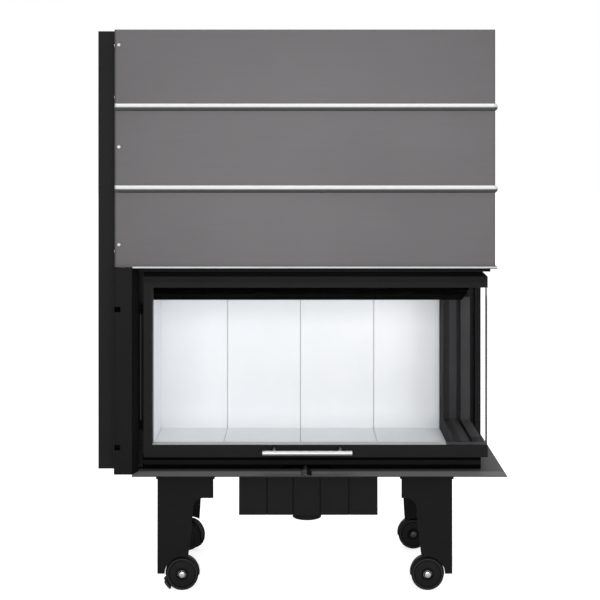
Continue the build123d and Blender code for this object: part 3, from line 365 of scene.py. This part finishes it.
# The retainer's bright lower front strip is a painted highlight, and its dark top on the right is painted shade
RETAINER = zoned_coat(
    "retainer_coat", (0.033, 0.033, 0.035), (0.042, 0.042, 0.044), 0.5,
    [
        ((None, None, None), (0.380, -0.204, 0.4215), (0.36, 0.365, 0.365), (0.42, 0.425, 0.425), 0.4),
        ((0.400, None, 0.770), (None, None, None), grey(0.0025), grey(0.0040), 0.0),
    ],
)
# The plinth is painted darker than the black coat as shade under the door, with a band across it at the black coat's
# own level
PLINTH_IN_SHADE = zoned_coat(
    "plinth_painted_shade", (0.0007, 0.0007, 0.0008), (0.0013, 0.0013, 0.0014), 0.6,
    [((None, None, 0.3625), (None, None, 0.3745), (0.0070, 0.0070, 0.0072), (0.0100, 0.0100, 0.0102), 0.0)], 0.01,
)
# The lighter patch on the lever's tip is a painted highlight
LEVER = zoned_coat(
    "lever_coat", grey(0.006), grey(0.010), 0.45,
    [((0.0045, None, 0.3530), (0.0165, None, None), (0.060, 0.060, 0.063), (0.110, 0.110, 0.113), 0.3)],
)
SLAB = pressed_slab("pale_slab", (0.86, 0.88, 0.905), (0.90, 0.915, 0.935))
PANE = pane_glass("fire_glass")
CORNER_PANE = pane_glass("corner_glass", -0.2255)
# The floor and left wall slabs are lighter copies of the slab as painted light; the left wall is also painted dark
# at its front lower corner
SLAB_FLOOR_LIT = pressed_slab("pale_slab_floor_painted_light", (0.90, 0.925, 0.94), (0.935, 0.95, 0.96))
SLAB_LEFT_LIT = pressed_slab("pale_slab_left_painted_light", (0.89, 0.91, 0.94), (0.92, 0.935, 0.96))
zones(SLAB_LEFT_LIT.node_tree, SLAB_LEFT_LIT.node_tree.nodes["Principled BSDF"], [
    ((None, None, None), (-0.405, -0.190, 0.375), grey(0.010), grey(0.020), 0.0),
])
ROPE = knitted_rope("seal_rope", grey(0.02), grey(0.07))
ZINC = rolled_sheet("zinc_plate", (0.45, 0.45, 0.44), (0.60, 0.60, 0.59), 0.35, 1.0, (30.0, 30.0, 30.0))
# The rails carry painted shadow: dark bands where the slots in the left trim show them from the front; a real rail
# has no such bands
RAIL = rolled_sheet("rail_zinc", (0.40, 0.40, 0.39), (0.55, 0.55, 0.54), 0.35, 0.0, (30.0, 30.0, 30.0))
zones(RAIL.node_tree, RAIL.node_tree.nodes["Principled BSDF"], [
    ((None, None, None), (None, None, 0.450), grey(0.002), grey(0.004), 0.0),
    ((None, None, 0.450), (None, None, 0.740), (0.40, 0.40, 0.39), (0.55, 0.55, 0.54), 0.9),
    ((None, None, 0.740), (None, None, 0.810), grey(0.002), grey(0.004), 0.0),
    ((None, None, 0.810), (None, None, None), (0.40, 0.40, 0.39), (0.55, 0.55, 0.54), 0.9),
])
REAR = powder_coat("rear_coat", (0.016, 0.016, 0.0165), (0.022, 0.022, 0.0225), 0.5)
PEDAL = moulded("brake_pedal", (0.020, 0.020, 0.021), (0.032, 0.032, 0.033), 0.45)
IRON = powder_coat("cast_iron", grey(0.020), (0.035, 0.033, 0.032), 0.65, 500.0, 0.6)
SHELL = moulded("castor_shell", (0.0055, 0.0055, 0.0060), (0.0085, 0.0085, 0.0090), 0.45)


def wheel_coat(name):
    """Black nylon wheel: the distance from the axle, kept on the piece, gives painted shade in the hub groove and
    the outer groove, a painted highlight on the raised ring, the disc with a fine mottle and a darker tread."""
    made, tree, shader = finish(name, 0.5, shine=0.08)
    reach = tree.nodes.new("ShaderNodeAttribute")
    reach.attribute_name = "from_axle"
    far = reach.outputs["Fac"]
    soft_edge = 0.0006
    mottle = cloud(tree, place(tree), 260.0, 3.0, 0.6)
    colour = blend_colours(tree, span(tree, mottle, 0.3, 0.7), (0.0055, 0.0055, 0.0060), (0.0105, 0.0105, 0.0110))
    # Painted shade in the hub groove and the outer groove, a painted highlight on the raised ring, and a darker
    # tread
    for start, stop, look in (
        (0.0100, 0.0175, (0.0020, 0.0020, 0.0022)), (0.0350, 0.0372, (0.0030, 0.0030, 0.0032)),
        (0.0372, 0.0405, (0.0240, 0.0240, 0.0245)), (0.0405, 0.0500, (0.0045, 0.0045, 0.0048)),
    ):
        past_start = span(tree, far, start - soft_edge, start + soft_edge)
        before_stop = span(tree, far, stop - soft_edge, stop + soft_edge, 1.0, 0.0)
        ring = sums(tree, past_start, before_stop, "MULTIPLY")
        colour = blend_colours(tree, ring, colour, look)
    tree.links.new(colour, shader.inputs["Base Color"])
    relief(tree, shader, mottle, 0.2, 0.0003)
    return made


WHEEL = wheel_coat("castor_wheel")
CAP = brushed_bar("axle_cap", grey(0.46), grey(0.58), 0.22, (300.0, 300.0, 300.0))
SCREW = brushed_bar("screw_head", grey(0.24), grey(0.31), 0.4, (300.0, 300.0, 300.0))
# The rear axle caps take a darker copy of the cap finish as painted shade
CAP_IN_SHADE = brushed_bar("axle_cap_painted_shade", grey(0.050), grey(0.085), 0.45, (300.0, 300.0, 300.0))
WIRE = brushed_bar("wire_rope", (0.35, 0.35, 0.34), (0.55, 0.55, 0.54), 0.35, (200.0, 200.0, 200.0))
# The carriage is painted near black as shade in the slot, with a lighter stripe where the rod shows
CARRIAGE = zoned_coat(
    "carriage_shade_and_rod", (0.0010, 0.0010, 0.0011), (0.0018, 0.0018, 0.0019), 0.5,
    [((-0.4193, None, 0.4845), (-0.4137, None, 0.7605), grey(0.003), grey(0.05), 0.6)], 0.01,
)

FINISH_OF = {
    "hood_grey": HOOD, "black_steel": BLACK, "leg_grey": LEG, "raw_steel": STEEL, "stainless": HANDLE,
    "apron_bright": APRON, "pale_slab": SLAB, "pane": PANE, "rope": ROPE, "zinc": ZINC,
    "weight_iron": IRON, "castor_shell": SHELL, "castor_tread": WHEEL,
}
# Pieces with a look of their own instead of their slot's
OWN_FINISH = {
    "base_frame": BASE, "plinth": PLINTH_IN_SHADE, "side_frame": JAMB, "inner_header": HEADER_SLOT_SHADE,
    "lining_left": SLAB_LEFT_LIT, "lining_floor_1": SLAB_FLOOR_LIT, "lining_floor_2": SLAB_FLOOR_LIT,
    "lining_floor_3": SLAB_FLOOR_LIT, "lining_floor_4": SLAB_FLOOR_LIT,
    "column_left": COLUMN, "fascia_left": FASCIA, "fascia_right": FASCIA,
    "guide_rail_left": RAIL, "guide_rail_right": RAIL, "hood_screws": SCREW,
    "rear_jacket": REAR, "smoke_dome": REAR, "flue_collar": REAR,
    "air_box": AIRBOX, "air_spigot": COLUMN, "air_lever": LEVER,
    "door_frame": DOOR, "side_glass": CORNER_PANE, "glass_retainer": RETAINER, "carriage_left": CARRIAGE,
    "castor_brake_fl": PEDAL,
}
SLOT_OF = {row["node"]: row["material_slot"] for row in frame["record"]["subparts"]}


def dress(node, look):
    """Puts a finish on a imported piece."""
    mesh = frame["nodes"][node].data
    mesh.materials.clear()
    mesh.materials.append(look)


for node in frame["nodes"]:
    dress(node, OWN_FINISH.get(node) or FINISH_OF[SLOT_OF[node]])

# ---------------------------------------------------------------- pieces


def piece(name, points, faces, look, body, slot, sharp=35.0):
    """A mesh from arrays, welded and turned outwards, with crisp edges past the sharp angle."""
    mesh = bpy.data.meshes.new(name)
    mesh.from_pydata(np.asarray(points, float).reshape(-1, 3).tolist(), [], np.asarray(faces).tolist())
    work = bmesh.new()
    work.from_mesh(mesh)
    bmesh.ops.remove_doubles(work, verts=work.verts, dist=1e-6)
    bmesh.ops.recalc_face_normals(work, faces=work.faces)
    limit = math.radians(sharp)
    for edge in work.edges:
        if len(edge.link_faces) == 2:
            edge.smooth = edge.calc_face_angle(0.0) < limit
    for face in work.faces:
        face.smooth = True
    work.to_mesh(mesh)
    work.free()
    mesh.materials.append(look)
    made = bpy.data.objects.new(name, mesh)
    bpy.context.scene.collection.objects.link(made)
    if body:
        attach(made, body)
    return made


def grid_faces(rows, columns):
    """Four-cornered faces of a grid of rows by columns, joined round the columns."""
    r, c = np.meshgrid(np.arange(rows - 1), np.arange(columns), indexing="ij")
    n = (c + 1) % columns
    corners = [r * columns + c, r * columns + n, (r + 1) * columns + n, (r + 1) * columns + c]
    return np.stack(corners, -1).reshape(-1, 4)


def turned(profile, centre, axis, sides=64):
    """A profile of (radius, place along the axis) turned round the axis: point = centre + axis*place
    + radius*(cos, sin) of the turn, with both ends of the profile on the axis."""
    axis = np.asarray(axis, float) / np.linalg.norm(axis)
    side = np.cross(axis, (0.0, 0.0, 1.0))
    side = side / np.linalg.norm(side) if np.linalg.norm(side) > 1e-6 else np.array((1.0, 0.0, 0.0))
    up = np.cross(side, axis)
    turn = np.linspace(0, 2 * np.pi, sides, endpoint=False)
    radius, along = np.asarray(profile, float).T
    ring = np.cos(turn)[:, None] * side + np.sin(turn)[:, None] * up
    points = np.asarray(centre, float) + along[:, None, None] * axis + radius[:, None, None] * ring
    return points.reshape(-1, 3), grid_faces(len(radius), sides)


def joined(parts):
    """Several (points, faces) as one, faces counted on."""
    points, faces, count = [], [], 0
    for p, f in parts:
        points.append(p)
        faces.append(np.asarray(f) + count)
        count += len(p)
    return np.concatenate(points), np.concatenate(faces)


def strand_rope(line, radius, lay=0.018, strands=6, across=36):
    """A laid wire rope along a line: radius*(1 + 0.12*|cos| ripple of the strands) round the line, the
    ripple turning once each lay of length."""
    line = np.asarray(line, float)
    step = np.linalg.norm(np.diff(line, axis=0), axis=1)
    run = np.concatenate([[0], np.cumsum(step)])
    ahead = np.gradient(line, axis=0)
    ahead /= np.linalg.norm(ahead, axis=1)[:, None]
    side = np.cross(ahead, (1.0, 0.0, 0.0))
    side /= np.linalg.norm(side, axis=1)[:, None]
    up = np.cross(ahead, side)
    turn = np.linspace(0, 2 * np.pi, across, endpoint=False)
    twist = 2 * np.pi * run[:, None] / lay
    ripple = 1 + 0.12 * (np.abs(np.cos(strands / 2 * (turn[None] - twist))) - 0.6)
    ring = np.cos(turn)[None, :, None] * side[:, None] + np.sin(turn)[None, :, None] * up[:, None]
    points = line[:, None] + radius * ripple[..., None] * ring
    points = np.concatenate([line[:1, None].repeat(across, 1), points, line[-1:, None].repeat(across, 1)])
    return points.reshape(-1, 3), grid_faces(len(line) + 2, across)


def middle(node):
    """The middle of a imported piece's box."""
    low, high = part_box(node)
    return np.array((low + high) / 2)


# Cables: laid wire ropes hanging from the top down to the door and the weights
CABLE_TOP = 1.44
CABLE_RADIUS = 0.0015
for side in ("left", "right"):
    weight_node = f"weight_cable_{side}"
    low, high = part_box(weight_node)
    x, y = (low.x + high.x) / 2, (low.y + high.y) / 2
    line = np.stack([np.full(160, x), np.full(160, y), np.linspace(CABLE_TOP, low.z, 160)], -1)
    rope = piece(f"weight_rope_{side}", *strand_rope(line, CABLE_RADIUS), WIRE, None, SLOT_OF[weight_node])
    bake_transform(rope)
    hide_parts(weight_node)

door_low, door_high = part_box("door_cables")
ropes = []
for x, y in (
    (door_low.x + CABLE_RADIUS, door_low.y + CABLE_RADIUS), (door_high.x - CABLE_RADIUS, door_high.y - CABLE_RADIUS),
):
    count = 320
    line = np.stack([np.full(count, x), np.full(count, y), np.linspace(CABLE_TOP, door_low.z, count)], -1)
    ropes.append(strand_rope(line, CABLE_RADIUS, across=12))
door_ropes = piece("door_ropes", *joined(ropes), WIRE, "insert", SLOT_OF["door_cables"])
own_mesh(door_ropes)
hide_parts("door_cables")


# Castor wheels: turned rims with a soft tread, a groove, a raised ring and a dished disc
def wheel_profile(width):
    """Half outline of one wheel from its hub face to its inner face: (radius, place across)."""
    outer = width / 2
    rim = 0.044
    shoulder = np.linspace(0, np.pi / 2, 8)
    soft = 0.004
    tread = [(rim - soft + soft * math.sin(t), outer - soft + soft * math.cos(t)) for t in shoulder]
    inner = [(rim - soft + soft * math.cos(t), -outer + soft - soft * math.sin(t)) for t in shoulder]
    face = [
        (0.0, outer - 0.0015), (0.010, outer - 0.0015), (0.0105, outer - 0.0025), (0.0145, outer - 0.0025),
        (0.015, outer - 0.0012), (0.034, outer - 0.0020), (0.0352, outer - 0.0032), (0.0370, outer - 0.0032),
        (0.0378, outer - 0.0006), (0.0385, outer),
    ]
    return face + tread + inner + [(0.012, -outer), (0.0, -outer)]


# The rear left castor stands turned; each wheel and each axle cap lies this far from the castor's middle
REAR_LEFT_TURN = math.radians(-30.0)
WHEEL_WIDTH = 0.012
WHEEL_OUT = 0.0130
CAP_OUT = 0.0195

for corner in ("fl", "fr", "rl", "rr"):
    node = f"castor_wheels_{corner}"
    centre = middle(node)
    lean = REAR_LEFT_TURN if corner == "rl" else 0.0
    axle = np.array((-math.sin(lean), math.cos(lean), 0.0))
    parts = []
    for way in (1.0, -1.0):
        middle_of_wheel = centre + axle * way * WHEEL_OUT
        parts.append(turned(wheel_profile(WHEEL_WIDTH), middle_of_wheel, axle * way, 72))
    wheels = piece(f"wheel_pair_{corner}", *joined(parts), WHEEL, f"wheels_{corner}", SLOT_OF[node], 30.0)
    spread = np.array([tuple(v.co) for v in wheels.data.vertices]) - centre
    off = spread - np.outer(spread @ axle, axle)
    wheels.data.attributes.new("from_axle", "FLOAT", "POINT").data.foreach_set("value", np.linalg.norm(off, axis=1))
    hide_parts(node)
    caps = []
    for way in (1.0, -1.0):
        dome = [(0.0108 * math.cos(t), 0.0020 + 0.0040 * math.sin(t)) for t in np.linspace(0, np.pi / 2, 14)]
        outline = [(0.0, -0.0012), (0.0112, -0.0012), (0.0112, 0.0020)] + dome
        caps.append(turned(outline, centre + axle * way * CAP_OUT, axle * way, 40))
    # Front caps are bright, rear caps darker as painted shade
    cap_look = CAP if corner in ("fl", "fr") else CAP_IN_SHADE
    piece(f"axle_caps_{corner}", *joined(caps), cap_look, f"castor_{corner}", "zinc")

# ---------------------------------------------------------------- studio

EYE = (0.0, -3.390, 1.188)
FOCAL_PIXELS = 1211.5
FRAME_PIXELS = 600.0
SENSOR = 36.0
camera_data = bpy.data.cameras.new("photo_camera")
camera_data.sensor_width = SENSOR
camera_data.lens = SENSOR * FOCAL_PIXELS / FRAME_PIXELS
camera_data.shift_x = -0.0008
camera_data.shift_y = -0.25
camera = bpy.data.objects.new("photo_camera", camera_data)
camera.location = EYE
camera.rotation_euler = (math.pi / 2, 0.0, 0.0)
bpy.context.scene.collection.objects.link(camera)
bpy.context.scene.camera = camera


def softbox(name, place_at, aim, size, watts):
    """A flat lamp of a given width and height that faces the aim point."""
    lamp = bpy.data.lights.new(name, "AREA")
    lamp.shape = "RECTANGLE"
    lamp.size, lamp.size_y = size
    lamp.energy = watts
    made = bpy.data.objects.new(name, lamp)
    made.location = place_at
    made.rotation_euler = (Vector(aim) - Vector(place_at)).to_track_quat("-Z", "Y").to_euler()
    bpy.context.scene.collection.objects.link(made)
    return made


softbox("overhead_box", (0.0, -0.9, 3.2), (0.0, -0.25, 1.2), (3.2, 0.9), 50.0)
softbox("front_box", (-0.1, -3.4, 1.15), (0.0, 0.0, 0.60), (2.4, 1.5), 60.0)
softbox("side_box", (2.4, -1.9, 1.0), (-0.3, 0.0, 0.55), (1.4, 1.2), 17.0)

floor_mesh = bpy.data.meshes.new("studio_floor")
floor_mesh.from_pydata([(-30, -30, 0), (30, -30, 0), (30, 30, 0), (-30, 30, 0)], [], [(0, 1, 2, 3)])
floor = bpy.data.objects.new("studio_floor", floor_mesh)
bpy.context.scene.collection.objects.link(floor)
paper, paper_tree, paper_shader = finish("studio_paper", 0.9)
paper_fibres = cloud(paper_tree, place(paper_tree), 60.0, 3.0, 0.6)
paper_tree.links.new(
    blend_colours(paper_tree, paper_fibres, grey(0.90), grey(0.93)), paper_shader.inputs["Base Color"]
)
lift = paper_tree.nodes.new("ShaderNodeLightPath")
glow = sums(paper_tree, lift.outputs["Is Camera Ray"], 0.70, "MULTIPLY")
paper_tree.links.new(glow, paper_shader.inputs["Emission Strength"])
paper_shader.inputs["Emission Color"].default_value = (1.0, 1.0, 1.0, 1.0)
floor_mesh.materials.append(paper)

world = bpy.data.worlds.new("studio_room")
world.use_nodes = True
bpy.context.scene.world = world
room = world.node_tree
plain = room.nodes["Background"]
plain.inputs["Color"].default_value = (1.0, 1.0, 1.0, 1.0)
path = room.nodes.new("ShaderNodeLightPath")
seen = sums(room, path.outputs["Is Camera Ray"], path.outputs["Is Transmission Ray"], "MAXIMUM")
seen = sums(room, seen, path.outputs["Is Glossy Ray"], "MAXIMUM")
room.links.new(span(room, seen, 0.0, 1.0, 0.55, 1.0), plain.inputs["Strength"])

bpy.context.scene.view_settings.view_transform = "Standard"
